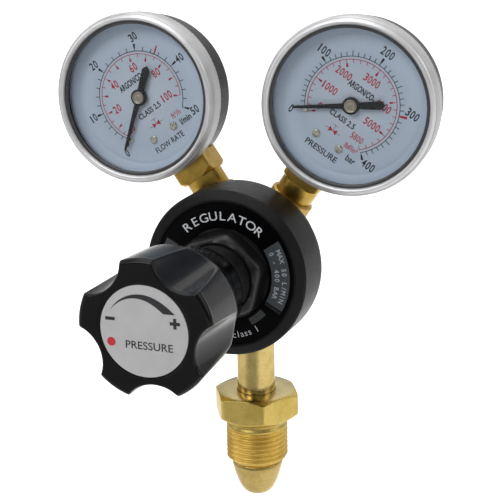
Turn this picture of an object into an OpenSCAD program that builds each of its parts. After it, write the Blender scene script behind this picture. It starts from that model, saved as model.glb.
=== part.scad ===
// Gas cylinder pressure regulator with two dial gauges, an adjusting knob,
// a cylinder inlet and a hose outlet. Millimetres, +Z up, front faces -Y.
// The origin is the middle of the inlet nut's thread, on the inlet axis.

/* [Housing] */
// Outside radius of the round housing at its front edge
housing_r = 28.88; // [28.6:0.02:29.1]
// Distance of the flange crease in front of the inlet axis
housing_front = 28.6; // [28.3:0.1:28.9]
// Across flats of the rounded hexagon boss
boss_af = 28.5; // [27.5:0.1:28.8]

/* [Knob] */
// Distance of the knob's front face in front of the inlet axis
knob_front = 92.57; // [91.5:0.01:93.5]
// Greatest radius over the grip lobes
knob_r = 21.8; // [21:0.1:22.4]
// Number of grip lobes
knob_lobes = 5; // [4:1:6]
// Radius of the finger scoops
scoop_r = 10.5; // [9.5:0.1:10.8]
// Turned position of the first scoop, degrees
scoop_phase = -12.5; // [-40:0.5:40]

/* [Gauges] */
// Lean of each gauge stem from vertical, degrees
stem_angle = 34.37; // [33.5:0.01:36]
// Distance from the knob axis to each dial centre
dial_distance = 67.82; // [67.2:0.01:69]
// Outside radius of the bezel
bezel_r = 29.65; // [29.3:0.05:30]
// Thickness of the lens
lens_t = 2; // [1.6:0.1:2.2]

/* [Inlet] */
// Across flats of the inlet nut
nut_af = 28.6; // [27:0.1:30]
// Outside radius of the inlet thread (G 5/8)
inlet_thread_r = 11.455; // [11.2:0.005:11.5]
// Radius of the gas bore in the nipple
inlet_bore_r = 2; // [1.5:0.1:2.4]

/* [Outlet] */
// Outside radius of the outlet thread (G 3/8)
outlet_thread_r = 8.33; // [8.2:0.01:8.38]
// Radius of the hose tail bore
tail_bore_r = 2.5; // [2:0.1:3]

/* [Hidden] */
$fn = 96;
// Height of the knob axis above the middle of the inlet thread
lift = 73.35;
twist_l = 1.03;
twist_r = 3.2;
outlet_phi = 225;
boss_top = 36.5;
hex_c = 1 / cos(30);

// Sub-part to draw

// Knob axis frame: local z runs forward, x right, y up
module fwd() { translate([0, 0, lift]) rotate([90, 0, 0]) children(); }
// Inlet axis frame: local z runs down
module down() { translate([0, 0, lift]) rotate([0, 180, 0]) children(); }
// Outlet axis frame: local z runs out along the outlet
module out() { translate([0, 0, lift]) rotate([0, 90 - outlet_phi, 0]) children(); }
// Gauge stem frame: local z runs out along the stem
module stem(s) {
  translate([0, 0, lift]) rotate([0, s * stem_angle, 0])
    rotate([0, 0, s < 0 ? twist_l : twist_r]) children();
}
// Dial frame: local z runs forward, y away from the stem
module dialf(s) { stem(s) translate([0, 0, dial_distance]) rotate([90, 0, 0]) children(); }

module rod(r, a, b) { translate([0, 0, a]) cylinder(r = r, h = b - a); }
module taper(r1, r2, a, b) { translate([0, 0, a]) cylinder(r1 = r1, r2 = r2, h = b - a); }
module hexrod(af, a, b) { translate([0, 0, a]) cylinder(r = af / 2 * hex_c, h = b - a, $fn = 6); }
module spin(p) { rotate_extrude() polygon(p); }
module block(x0, x1, y0, y1, z0, z1) {
  translate([x0, y0, z0]) cube([x1 - x0, y1 - y0, z1 - z0]);
}

// Coil of round wire, closed at both ends
module coil(rm, rw, z0, pitch, mid, turns, steps, sides) {
  total = turns * steps;
  function rise(t) = t < 1 ? pitch * t
    : t < turns - 1 ? pitch + mid * (t - 1)
    : pitch + mid * (turns - 2) + pitch * (t - turns + 1);
  points = [for (i = [0:total], j = [0:sides - 1])
    let (a = 360 * i / steps, b = 360 * j / sides,
         r = rm + rw * cos(b))
    [r * cos(a), r * sin(a), z0 + rw + rise(i / steps) + rw * sin(b)]];
  walls = [for (i = [0:total - 1], j = [0:sides - 1])
    let (k = (j + 1) % sides)
    [i * sides + j, i * sides + k, (i + 1) * sides + k, (i + 1) * sides + j]];
  first = [[for (j = [sides - 1:-1:0]) j]];
  last = [[for (j = [0:sides - 1]) total * sides + j]];
  polyhedron(points, concat(walls, first, last), convexity = 10);
}

// ---- valve body and its working parts ----

module body() color([0.78, 0.6, 0.32]) difference() {
  union() {
    fwd() spin([[0, -13], [13, -13], [14, -12], [14, -9], [21, -9], [21, 8],
      [24, 8], [24, 19], [0, 19]]);
    down() rod(9.5, 11, 30);
    for (s = [-1, 1]) stem(s) spin([[0, 11], [8, 11], [8, 26.3], [7.3, 27], [0, 27]]);
    out() spin([[0, 12], [10.5, 12], [10.5, 27.3], [9.8, 28], [0, 28]]);
  }
  fwd() {
    spin([[0, -14], [8, -14], [8, 2], [6, 2], [6, 12.5], [19, 12.5], [19, 20], [0, 20]]);
    rotate([0, 0, 90 + stem_angle]) translate([14, 0, 0]) rod(1.25, 0, 13);
    rotate([0, 0, outlet_phi]) translate([14, 0, 0]) rod(1.6, 0, 13);
  }
  down() spin([[0, 5], [2.5, 5], [2.5, 19], [6.58, 19], [6.58, 31], [0, 31]]);
  stem(1) spin([[0, 5], [1.5, 5], [1.5, 15], [6.58, 15], [6.58, 28], [0, 28]]);
  stem(-1) spin([[0, 12.5], [2, 12.5], [2, 15], [6.58, 15], [6.58, 28], [0, 28]]);
  out() spin([[0, 12], [3, 12], [3, 20], [8.36, 20], [8.36, 29], [0, 29]]);
}

module seat_nozzle() color([0.82, 0.66, 0.36]) fwd() difference() {
  union() { rod(5.97, 2, 12.5); hexrod(13.8, 12.5, 15); }
  rod(1.6, 1, 16);
}

module valve_poppet() color([0.7, 0.7, 0.72]) fwd() {
  rod(2, -10, -5); rod(4, -5, 0.7); taper(4, 3, 0.7, 1.7); rod(1, 1.7, 18.5);
}

module valve_spring() color([0.75, 0.75, 0.78]) fwd()
  coil(3.2, 0.4, -10.9, 0.9, 1.0, 5, 16, 8);

module rear_plug() color([0.8, 0.63, 0.34]) fwd() difference() {
  union() {
    rod(7.9, -13, -6);
    intersection() { hexrod(19, -18, -13); taper(9, 13.2, -18.2, -13); }
  }
  rod(4.5, -11, -5);
}

module diaphragm() color([0.15, 0.15, 0.15]) fwd() difference() {
  rod(23.9, 19, 20.5); rod(3.35, 18, 21.5);
}

module slip_ring() color([0.75, 0.75, 0.78]) fwd() difference() {
  rod(23.9, 20.5, 21); rod(19.5, 20, 22);
}

module diaphragm_plate() color([0.8, 0.63, 0.34]) fwd() {
  rod(3.3, 18.8, 21.4); rod(15, 21.3, 22.6); taper(5.4, 5, 22.6, 24.6);
}

module adjusting_spring() color([0.55, 0.56, 0.6]) fwd()
  coil(7, 1.4, 22.95, 2.9, 4.05, 5, 20, 10);

module spring_button() color([0.7, 0.7, 0.72]) fwd() {
  rod(5.2, 42.4, 44.1); rod(8.8, 44.1, 46.4); taper(8.8, 8.1, 46.4, 47);
}

module adjusting_screw() color([0.72, 0.72, 0.75]) fwd() {
  taper(4.2, 5, 47.3, 48.1); rod(5, 48.1, 83.4); taper(5, 4.4, 83.4, 84);
}

module knob_insert() color([0.8, 0.63, 0.34]) fwd() difference() {
  hexrod(15.6, 71, 84); rod(5, 70, 85);
}

module knob() color([0.12, 0.12, 0.13]) fwd() difference() {
  spin([[0, 65], [12, 65], [12, 50], [15, 50], [15, 63.6], [16.2, 65.6],
    [knob_r - 1.05, knob_front - 21.1], [knob_r, knob_front - 1.9],
    [knob_r - 1.5, knob_front], [0, knob_front]]);
  for (i = [0:knob_lobes - 1])
    rotate([0, 0, scoop_phase + i * 360 / knob_lobes]) translate([scoop_r + 16.6, 0, 0])
      rod(scoop_r, 45, 95);
  rod(12.6, 49, 70.5);
  hexrod(15.6, 70, 84);
  rod(14.1, knob_front - 1, knob_front + 1);
}

module knob_cap() color([0.82, 0.83, 0.83]) fwd()
  rod(14.08, knob_front - 1, knob_front - 0.05);

module bonnet() color([0.05, 0.05, 0.055]) fwd() difference() {
  union() {
    spin([[0, 12.8], [26.5, 12.8], [26.5, 28.8], [0, 28.8]]);
    intersection() {
      rotate([0, 0, 17]) hexrod(boss_af, 28, boss_top);
      union() { rod(15.8, 28, boss_top - 2.2); taper(15.8, 12.6, boss_top - 2.2, boss_top); }
    }
    rod(12, 30, 60);
  }
  rod(24, 12, 21);
  rod(19.5, 20.9, 25);
  taper(19.5, 10.5, 25, 27.6);
  rod(10.5, 27, 48);
  rod(5.06, 47, 61);
}

module housing_cover() color([0.1, 0.1, 0.1]) fwd() spin([
  [26.5, 10.9], [28.3, 10.9], [28.95, 11.4], [29.16, 12.4],
  [housing_r, housing_front], [housing_r - 0.35, housing_front + 0.45],
  [25.6, 30.5], [24.9, 30.3], [24.9, 28.8], [26.5, 28.8]]);

module label_ring() color([0.05, 0.05, 0.05]) fwd() difference() {
  rod(23.8, 28.8, 29.6); rod(16.2, 28, 30);
}

// ---- inlet ----

module inlet_nipple() color([0.8, 0.62, 0.33]) down() difference() {
  union() {
    rod(6.55, 19, 30);
    rod(6.97, 30, 51.5);
    rod(7.6, 51.5, 53.5);
    rod(7, 53.5, 79.7);
    spin([[0, 79.7], [9.0, 79.7], [9.45, 80.8], [8.9, 82.9], [8, 85.2], [7.2, 87],
      [6.45, 88.5], [5.4, 90.1], [4.2, 91.4], [3.2, 92.4], [2.6, 93], [0, 93]]);
  }
  rod(inlet_bore_r, 17, 94);
  rod(3.25, 18, 28);
}

module inlet_filter() color([0.62, 0.5, 0.3]) down() {
  rod(3.2, 19.5, 26.5); taper(3.2, 1.6, 26.5, 27.6);
}

module inlet_nut() color([0.8, 0.62, 0.33]) down() difference() {
  union() {
    intersection() {
      rotate([0, 0, -0.5]) hexrod(nut_af, 50, 67);
      spin([[0, 51.3], [12.9, 51.3], [17.6, 53.774], [17.6, 59.566], [10.5, 65], [0, 65]]);
    }
    rod(10.45, 64.5, 67.4);
    taper(10.45, inlet_thread_r, 67.4, 68.3);
    rod(inlet_thread_r, 68.3, 78.4);
    taper(inlet_thread_r, inlet_thread_r - 1, 78.4, 79.3);
  }
  rod(8, 50, 80);
}

// ---- outlet ----

module outlet_adapter() color([0.8, 0.62, 0.33]) out() difference() {
  union() {
    rod(outlet_thread_r, 20.4, 28);
    intersection() { hexrod(19, 28, 34); taper(13.2, 10, 28, 34.2); }
    rod(outlet_thread_r, 34, 45.4);
    taper(outlet_thread_r, outlet_thread_r - 0.6, 45.4, 46);
  }
  rod(3.5, 20, 47);
}

module hose_nut() color([0.8, 0.62, 0.33]) out() difference() {
  intersection() {
    hexrod(20.4, 36, 53);
    union() { taper(10.4, 12, 35.9, 37.5); rod(12, 37.5, 51.4); taper(12, 10.2, 51.4, 53); }
  }
  rod(outlet_thread_r + 0.07, 35, 50);
  rod(5.4, 49, 54);
}

module hose_tail() color([0.8, 0.62, 0.33]) out() difference() {
  union() {
    rod(7.9, 46.3, 49.7);
    rod(5, 49.7, 55);
    for (i = [0:3]) taper(5.4, 4.3, 55 + i * 3.6, 58.6 + i * 3.6);
    taper(4.3, 3.8, 69.4, 70);
    rod(4.3, 55, 69.6);
  }
  rod(tail_bore_r, 45, 71);
}

// ---- gauges: s is -1 on the left and 1 on the right ----

module g_case(s) color([0.06, 0.06, 0.06]) dialf(s) difference() {
  spin([[0, -8], [24.5, -8], [26.8, -7.2], [27.9, -5.3], [28.2, -3.2], [28.2, 12],
    [27.4, 12], [27.4, -3], [27.1, -4.9], [26.2, -6.5], [24.3, -7.2], [0, -7.2]]);
  block(-7.02, 7.02, -30, -20, -7.15, 7.02);
  for (x = [-5, 5]) translate([x, -18, 0]) rod(1.3, -9, -6);
  translate([0, 10, 0]) rod(5.5, -9, -6);
}

module g_bezel(s) color([0.82, 0.7, 0.45]) dialf(s) spin([
  [28.2, 7.1], [bezel_r - 0.2, 7.1], [bezel_r, 7.4], [bezel_r, 14.7], [bezel_r - 0.3, 15.4],
  [28.7, 16], [27.9, 16.1], [27.2, 15.7], [26.9, 14.84], [28.2, 14.84]]);

module g_gasket(s) color([0.08, 0.08, 0.08]) dialf(s) difference() {
  rod(28.2, 12 + lens_t, 14.84); rod(25.3, 13, 15);
}

module g_lens(s) color([0.85, 0.9, 0.92, 0.35]) dialf(s) rod(28, 12, 12 + lens_t);

module g_dial(s) color([0.93, 0.93, 0.9]) dialf(s) difference() {
  rod(25.4, 8.6, 9.1);
  rod(2, 8, 10);
  for (x = [-4.6, 4.6]) translate([x, -14.9, 0]) rod(0.75, 8, 10);
  translate([-12.1, -10.4, 0]) rod(0.9, 8, 10);
}

module g_dial_screws(s) color([0.75, 0.75, 0.78]) dialf(s)
  for (x = [-4.6, 4.6]) translate([x, -14.9, 0]) { rod(0.7, 6, 9.1); rod(1.05, 9.1, 9.55); }

module g_stop_pin(s) color([0.7, 0.7, 0.72]) dialf(s)
  translate([-12.1, -10.4, 0]) { rod(0.88, 8.6, 9.9); rod(1.3, 8.1, 8.6); }

module g_pointer(s) color([0.04, 0.04, 0.04]) dialf(s) {
  rod(2.9, 9.8, 11.3);
  rotate([0, 0, s < 0 ? 218 : 216.7]) translate([0, 0, 10.6]) linear_extrude(0.5)
    polygon([[-11.6, 0], [-11.1, -1.25], [-9.5, -1.4], [0, -1], [19.2, -0.42], [20.3, 0],
      [19.2, 0.42], [0, 1], [-9.5, 1.4], [-11.1, 1.25]]);
}

module g_pointer_cap(s) color([0.75, 0.75, 0.75]) dialf(s) rod(2.15, 11.3, 11.65);

module g_spindle(s) color([0.8, 0.66, 0.4]) dialf(s) {
  rod(0.8, -0.5, 9.8); rod(1.5, 3, 4.6);
}

module g_movement_frame(s) color([0.8, 0.66, 0.4]) dialf(s) {
  difference() {
    union() { block(-9, 12, -11, 5, 0.8, 1.8); block(-5.5, 8, -17, -10.9, 0.8, 1.8); }
    rod(0.85, 0, 3);
    translate([6.6, -9.05, 0]) rod(0.75, 0, 3);
    for (x = [-4.6, 4.6]) translate([x, -14.9, 0]) rod(1.9, 0, 3);
  }
  difference() {
    block(-9, 12, -12.5, 5, 6.6, 7.6);
    rod(0.85, 6, 8);
    translate([6.6, -9.05, 0]) rod(0.75, 6, 8);
  }
  for (p = [[-7.3, -9.5], [-7.3, 3.3], [10.3, 3.3]]) translate([p[0], p[1], 0]) rod(1.2, 1.8, 6.6);
}

module g_sector_gear(s) color([0.82, 0.68, 0.42]) dialf(s) translate([6.6, -9.05, 0]) {
  spin([[0, 0.9], [0.7, 0.9], [0.7, 3], [2, 3], [2, 4.6], [0.7, 4.6], [0.7, 7.5], [0, 7.5]]);
  rotate([0, 0, 77]) rotate_extrude(angle = 56)
    polygon([[1.2, 3.2], [9.35, 3.2], [9.35, 4.4], [1.2, 4.4]]);
  rotate([0, 0, -39.4]) difference() {
    union() { block(1.2, 4.1, -0.9, 0.9, 3.2, 4.4); translate([4, 0, 0]) rod(1.2, 3.2, 4.4); }
    translate([4, 0, 0]) rod(0.66, 3, 5);
  }
}

module g_link(s) color([0.78, 0.78, 0.8]) dialf(s) {
  difference() {
    union() {
      translate([9.69, -11.59, 0]) rotate([0, 0, 42.6]) block(0, 12.24, -0.8, 0.8, 2.3, 2.9);
      translate([9.69, -11.59, 0]) rod(1.2, 2.3, 2.9);
      translate([18.7, -3.3, 0]) rod(1.2, 2.3, 2.9);
    }
    translate([18.7, -3.3, 0]) rod(0.66, 2, 3);
  }
  translate([9.69, -11.59, 0]) rod(0.6, 2.9, 4.6);
}

module g_bourdon_tube(s) color([0.72, 0.55, 0.3]) dialf(s) {
  rotate([0, 0, -4]) rotate_extrude(angle = 251) polygon([[17.8, -4.2], [18.4, -5],
    [19.6, -5], [20.2, -4.2], [20.2, -0.3], [19.6, 0.5], [18.4, 0.5], [17.8, -0.3]]);
  rotate([0, 0, -13]) block(17.4, 20.6, 0, 3.4, -5, 1.4);
  translate([18.7, -3.3, 0]) rod(0.6, 1.3, 3.2);
}

module g_socket(s) color([0.8, 0.62, 0.33]) difference() {
  union() {
    stem(s) {
      rod(6.55, 15.2, 27); rod(6.9, 27, 33.2);
      intersection() { block(-7, 7, -7, 7, 33, 46); taper(7.6, 21, 32.6, 46); }
    }
    dialf(s) {
      block(-8, 8, -22.8, -12, -7.2, 0.8);
      for (x = [-4.6, 4.6]) translate([x, -14.9, 0]) rod(1.8, 0.7, 8.6);
    }
  }
  stem(s) rod(1.25, 14, 49);
  dialf(s) {
    rotate([0, 0, 236]) rotate_extrude(angle = 11.02) polygon([[17.78, -5.02], [20.22, -5.02],
      [20.22, 0.9], [17.78, 0.9]]);
    for (x = [-4.6, 4.6]) translate([x, -14.9, 0]) rod(0.7, 6, 9);
    for (x = [-5, 5]) translate([x, -18, 0]) rod(1.2, -8, -3);
  }
}

module g_case_screws(s) color([0.7, 0.7, 0.72]) dialf(s)
  for (x = [-5, 5]) translate([x, -18, 0]) { rod(1.2, -8, -3); taper(1.7, 2.2, -9, -8.4); rod(2.2, -8.4, -8); }

module g_blowout_plug(s) color([0.1, 0.1, 0.1]) dialf(s) translate([0, 10, 0]) {
  rod(5.48, -8, -7.2); taper(6, 6.6, -8.7, -8.2); rod(6.6, -8.2, -8);
}

module left_case() g_case(-1);
module left_bezel() g_bezel(-1);
module left_gasket() g_gasket(-1);
module left_lens() g_lens(-1);
module left_dial() g_dial(-1);
module left_dial_screws() g_dial_screws(-1);
module left_stop_pin() g_stop_pin(-1);
module left_pointer() g_pointer(-1);
module left_pointer_cap() g_pointer_cap(-1);
module left_spindle() g_spindle(-1);
module left_movement_frame() g_movement_frame(-1);
module left_sector_gear() g_sector_gear(-1);
module left_link() g_link(-1);
module left_bourdon_tube() g_bourdon_tube(-1);
module left_socket() g_socket(-1);
module left_case_screws() g_case_screws(-1);
module left_blowout_plug() g_blowout_plug(-1);
module right_case() g_case(1);
module right_bezel() g_bezel(1);
module right_gasket() g_gasket(1);
module right_lens() g_lens(1);
module right_dial() g_dial(1);
module right_dial_screws() g_dial_screws(1);
module right_stop_pin() g_stop_pin(1);
module right_pointer() g_pointer(1);
module right_pointer_cap() g_pointer_cap(1);
module right_spindle() g_spindle(1);
module right_movement_frame() g_movement_frame(1);
module right_sector_gear() g_sector_gear(1);
module right_link() g_link(1);
module right_bourdon_tube() g_bourdon_tube(1);
module right_socket() g_socket(1);
module right_case_screws() g_case_screws(1);
module right_blowout_plug() g_blowout_plug(1);

body();
seat_nozzle();
valve_poppet();
valve_spring();
rear_plug();
diaphragm();
slip_ring();
diaphragm_plate();
adjusting_spring();
spring_button();
adjusting_screw();
knob_insert();
knob();
knob_cap();
bonnet();
housing_cover();
label_ring();
inlet_nipple();
inlet_filter();
inlet_nut();
outlet_adapter();
hose_nut();
hose_tail();
left_case();
left_bezel();
left_gasket();
left_lens();
left_dial();
left_dial_screws();
left_stop_pin();
left_pointer();
left_pointer_cap();
left_spindle();
left_movement_frame();
left_sector_gear();
left_link();
left_bourdon_tube();
left_socket();
left_case_screws();
left_blowout_plug();
right_case();
right_bezel();
right_gasket();
right_lens();
right_dial();
right_dial_screws();
right_stop_pin();
right_pointer();
right_pointer_cap();
right_spindle();
right_movement_frame();
right_sector_gear();
right_link();
right_bourdon_tube();
right_socket();
right_case_screws();
right_blowout_plug();
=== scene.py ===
import math

import bmesh
import bpy
import numpy as np
from mathutils import Matrix, Vector


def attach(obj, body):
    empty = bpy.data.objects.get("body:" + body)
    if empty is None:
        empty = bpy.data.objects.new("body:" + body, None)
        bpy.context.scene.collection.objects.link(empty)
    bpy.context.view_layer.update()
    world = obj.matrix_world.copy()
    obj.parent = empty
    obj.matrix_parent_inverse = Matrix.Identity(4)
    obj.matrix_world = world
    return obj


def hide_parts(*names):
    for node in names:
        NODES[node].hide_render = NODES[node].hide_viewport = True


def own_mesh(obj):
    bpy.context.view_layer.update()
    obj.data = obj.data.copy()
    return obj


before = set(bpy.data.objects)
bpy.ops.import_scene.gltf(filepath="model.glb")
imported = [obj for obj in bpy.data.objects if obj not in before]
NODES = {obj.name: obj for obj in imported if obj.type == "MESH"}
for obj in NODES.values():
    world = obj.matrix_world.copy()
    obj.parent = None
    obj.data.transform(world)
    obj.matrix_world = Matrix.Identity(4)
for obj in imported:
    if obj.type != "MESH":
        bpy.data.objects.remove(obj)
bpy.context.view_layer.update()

scene = bpy.context.scene
MM = 0.001
LIFT = 0.07335          # knob axis above the middle of the inlet thread
STEM = 34.37            # lean of the gauge stems
TWIST = {-1: 1.03, 1: 3.2}
SIDE = {-1: "left", 1: "right"}


def T(x, y, z):
    return Matrix.Translation((x * MM, y * MM, z * MM))


def R(deg, ax):
    return Matrix.Rotation(math.radians(deg), 4, ax)


UP = Matrix.Translation((0, 0, LIFT))
FWD = UP @ R(90, "X")            # z forward along the knob axis, y up
DOWN = UP @ R(180, "Y")          # z down along the inlet axis
OUT = UP @ R(90 - 225, "Y")      # z out along the outlet axis


def STEMF(s):
    return UP @ R(s * STEM, "Y") @ R(TWIST[s], "Z")


def DIALF(s):
    return STEMF(s) @ T(0, 0, 67.82) @ R(90, "X")


# --------------------------------------------------------------------------
# mesh helpers: all shapes are given in millimetres in their own frame
# --------------------------------------------------------------------------

def rounded(pts, seg=6, closed=True):
    """(r, z) or (r, z, fillet radius) points -> outline with its corners rounded."""
    out = []
    n = len(pts)
    for i, p in enumerate(pts):
        rad = p[2] if len(p) > 2 else 0
        if rad <= 0 or (not closed and i in (0, n - 1)):
            out.append((float(p[0]), float(p[1])))
            continue
        a = np.array(pts[(i - 1) % n][:2], float)
        b = np.array(p[:2], float)
        c = np.array(pts[(i + 1) % n][:2], float)
        la, lc = np.linalg.norm(a - b), np.linalg.norm(c - b)
        v1, v2 = (a - b) / la, (c - b) / lc
        ang = math.acos(max(-1, min(1, float(v1 @ v2))))
        if ang > math.pi - 1e-3:
            out.append((float(p[0]), float(p[1])))
            continue
        t = min(rad / math.tan(ang / 2), 0.49 * la, 0.49 * lc)
        rr = t * math.tan(ang / 2)
        cen = b + (v1 + v2) / np.linalg.norm(v1 + v2) * rr / math.sin(ang / 2)
        p1, p2 = b + v1 * t - cen, b + v2 * t - cen
        a1 = math.atan2(p1[1], p1[0])
        d = (math.atan2(p2[1], p2[0]) - a1 + math.pi) % (2 * math.pi) - math.pi
        for k in range(seg + 1):
            q = a1 + d * k / seg
            out.append((float(cen[0] + rr * math.cos(q)), float(cen[1] + rr * math.sin(q))))
    return out


def add_object(name, verts, faces, M, body, mat, smooth=32.0, slot=None, replaces=()):
    me = bpy.data.meshes.new(name)
    me.from_pydata([(v[0] * MM, v[1] * MM, v[2] * MM) for v in verts], [], faces)
    me.validate()
    bm = bmesh.new()
    bm.from_mesh(me)
    bmesh.ops.remove_doubles(bm, verts=bm.verts, dist=1e-8)
    bmesh.ops.recalc_face_normals(bm, faces=bm.faces)
    bm.to_mesh(me)
    bm.free()
    if smooth:
        me.shade_smooth()
        me.set_sharp_from_angle(angle=math.radians(smooth))
    ob = bpy.data.objects.new(name, me)
    scene.collection.objects.link(ob)
    ob.matrix_world = M
    me.materials.append(mat)
    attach(ob, body)
    if replaces:
        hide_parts(*replaces)
    return ob


def lathe_data(profile, n=192, radius=None):
    """Revolves a closed (r, z) outline. radius(theta, r, z) may change the radius."""
    verts, rings = [], []
    for r, z in profile:
        if r < 1e-6:
            rings.append([len(verts)])
            verts.append((0.0, 0.0, z))
        else:
            ids = []
            for k in range(n):
                t = 2 * math.pi * k / n
                rr = radius(t, r, z) if radius else r
                ids.append(len(verts))
                verts.append((rr * math.cos(t), rr * math.sin(t), z))
            rings.append(ids)
    faces = []
    m = len(rings)
    for i in range(m):
        a, b = rings[i], rings[(i + 1) % m]
        if len(a) == 1 and len(b) == 1:
            continue
        for k in range(n):
            l = (k + 1) % n
            if len(a) == 1:
                faces.append((a[0], b[k], b[l]))
            elif len(b) == 1:
                faces.append((a[k], a[l], b[0]))
            else:
                faces.append((a[k], a[l], b[l], b[k]))
    return verts, faces


def lathe(name, profile, M, body, mat, n=192, seg=6, radius=None, **kw):
    v, f = lathe_data(rounded(profile, seg), n, radius)
    return add_object(name, v, f, M, body, mat, **kw)


def merge(*parts):
    V, F = [], []
    for v, f in parts:
        o = len(V)
        V += list(v)
        F += [tuple(i + o for i in q) for q in f]
    return V, F


def moved(part, M):
    v, f = part
    return [tuple(M @ Vector(p)) for p in v], f


def prism_stack(rings):
    """Closed solid from a stack of equal length rings of 3-D points."""
    V, F = [], []
    n = len(rings[0])
    for ring in rings:
        V += [tuple(p) for p in ring]
    for i in range(len(rings) - 1):
        for k in range(n):
            l = (k + 1) % n
            F.append((i * n + k, i * n + l, (i + 1) * n + l, (i + 1) * n + k))
    F.append(tuple(range(n - 1, -1, -1)))
    F.append(tuple((len(rings) - 1) * n + k for k in range(n)))
    return V, F


def bevelled(ob, width, segments=3, angle=30):
    b = ob.modifiers.new("edge", "BEVEL")
    b.width = width * MM
    b.segments = segments
    b.limit_method = "ANGLE"
    b.angle_limit = math.radians(angle)
    b.harden_normals = False
    return ob


# --------------------------------------------------------------------------
# materials
# --------------------------------------------------------------------------

def lin(r, g, b):
    f = lambda c: c / 12.92 if c <= 0.04045 else ((c + 0.055) / 1.055) ** 2.4
    return (f(r / 255), f(g / 255), f(b / 255), 1.0)


class Mat:
    def __init__(self, name):
        self.m = bpy.data.materials.new(name)
        self.m.use_nodes = True
        self.t = self.m.node_tree
        self.p = self.t.nodes["Principled BSDF"]
        self.coord = self.t.nodes.new("ShaderNodeTexCoord")

    def put(self, **kw):
        for k, v in kw.items():
            self.p.inputs[k.replace("_", " ")].default_value = v
        return self

    def link(self, a, b):
        self.t.links.new(a, b)

    def mapping(self, scale=(1, 1, 1)):
        n = self.t.nodes.new("ShaderNodeMapping")
        n.inputs["Scale"].default_value = scale
        self.link(self.coord.outputs["Object"], n.inputs["Vector"])
        return n.outputs["Vector"]

    def noise(self, scale, detail=4.0, rough=0.55, stretch=(1, 1, 1), distort=0.0):
        n = self.t.nodes.new("ShaderNodeTexNoise")
        n.inputs["Scale"].default_value = scale
        n.inputs["Detail"].default_value = detail
        n.inputs["Roughness"].default_value = rough
        n.inputs["Distortion"].default_value = distort
        self.link(self.mapping(stretch), n.inputs["Vector"])
        return n.outputs["Fac"]

    def ramp(self, fac, stops):
        n = self.t.nodes.new("ShaderNodeValToRGB")
        e = n.color_ramp.elements
        while len(e) > len(stops):
            e.remove(e[-1])
        while len(e) < len(stops):
            e.new(0.5)
        for el, (pos, col) in zip(e, stops):
            el.position = pos
            el.color = col if len(col) == 4 else (*col, 1)
        self.link(fac, n.inputs["Fac"])
        return n.outputs["Color"]

    def remap(self, fac, lo, hi, a=0.3, b=0.7):
        n = self.t.nodes.new("ShaderNodeMapRange")
        n.inputs["From Min"].default_value = a
        n.inputs["From Max"].default_value = b
        n.inputs["To Min"].default_value = lo
        n.inputs["To Max"].default_value = hi
        self.link(fac, n.inputs["Value"])
        return n.outputs["Result"]

    def mix(self, fac, a, b, mode="MIX"):
        n = self.t.nodes.new("ShaderNodeMix")
        n.data_type = "RGBA"
        n.blend_type = mode
        for sock, v in ((n.inputs[0], fac), (n.inputs[6], a), (n.inputs[7], b)):
            if hasattr(v, "links") or hasattr(v, "is_linked"):
                self.link(v, sock)
            else:
                sock.default_value = v
        return n.outputs[2]

    def color(self, out):
        self.link(out, self.p.inputs["Base Color"])
        return self

    def rough(self, out):
        self.link(out, self.p.inputs["Roughness"])
        return self

    def bump(self, out, strength, dist, under=None):
        n = self.t.nodes.new("ShaderNodeBump")
        n.inputs["Strength"].default_value = strength
        n.inputs["Distance"].default_value = dist
        self.link(out, n.inputs["Height"])
        if under is not None:
            self.link(under, n.inputs["Normal"])
        self.link(n.outputs["Normal"], self.p.inputs["Normal"])
        return n.outputs["Normal"]


def gray(v):
    return (v, v, v, 1)


def brass(name, light, dark, r_lo, r_hi, grooves=0.0, groove_scale=2600, mottle=90.0):
    """Machined brass: two tones, handling marks, and turning marks round the local z axis."""
    m = Mat(name)
    big = m.noise(mottle, 5, 0.6)
    fine = m.noise(1400, 3, 0.6)
    base = m.ramp(big, [(0.3, dark), (0.52, light), (0.78, tuple(min(1, c * 1.12) for c in light[:3]))])
    speck = m.ramp(fine, [(0.3, gray(0.82)), (0.7, gray(1.0))])
    m.color(m.mix(1.0, base, speck, "MULTIPLY"))
    m.rough(m.remap(m.noise(260, 4, 0.6), r_lo, r_hi))
    m.put(Metallic=1.0)
    n1 = m.bump(m.noise(420, 4, 0.5), 0.10, 0.0004)
    if grooves:
        m.bump(m.noise(groove_scale, 2, 0.6, stretch=(0.02, 0.02, 1)), grooves, 0.00012, n1)
    return m.m


def black(name, tone, r_lo, r_hi, grain=2600, depth=0.12, coat=0.0, spec=0.5, ior=1.45):
    """Black moulded or painted surface: fine grain, slight tone change, patchy sheen."""
    m = Mat(name)
    m.color(m.ramp(m.noise(130, 4, 0.6), [(0.3, tuple(c * 0.75 for c in tone[:3])), (0.7, tuple(c * 1.3 for c in tone[:3]))]))
    m.rough(m.remap(m.noise(320, 5, 0.6), r_lo, r_hi))
    m.put(Coat_Weight=coat, Specular_IOR_Level=spec, Coat_Roughness=0.12, IOR=ior)
    m.bump(m.noise(grain, 3, 0.6), depth, 0.00008)
    return m.m


def metal(name, light, dark, r_lo, r_hi, stretch=(1, 1, 1), scale=900, depth=0.1, metallic=1.0):
    m = Mat(name)
    m.color(m.ramp(m.noise(150, 4, 0.6), [(0.3, dark), (0.7, light)]))
    m.rough(m.remap(m.noise(300, 4, 0.6), r_lo, r_hi))
    m.put(Metallic=metallic)
    m.bump(m.noise(scale, 3, 0.6, stretch=stretch), depth, 0.0001)
    return m.m


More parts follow.
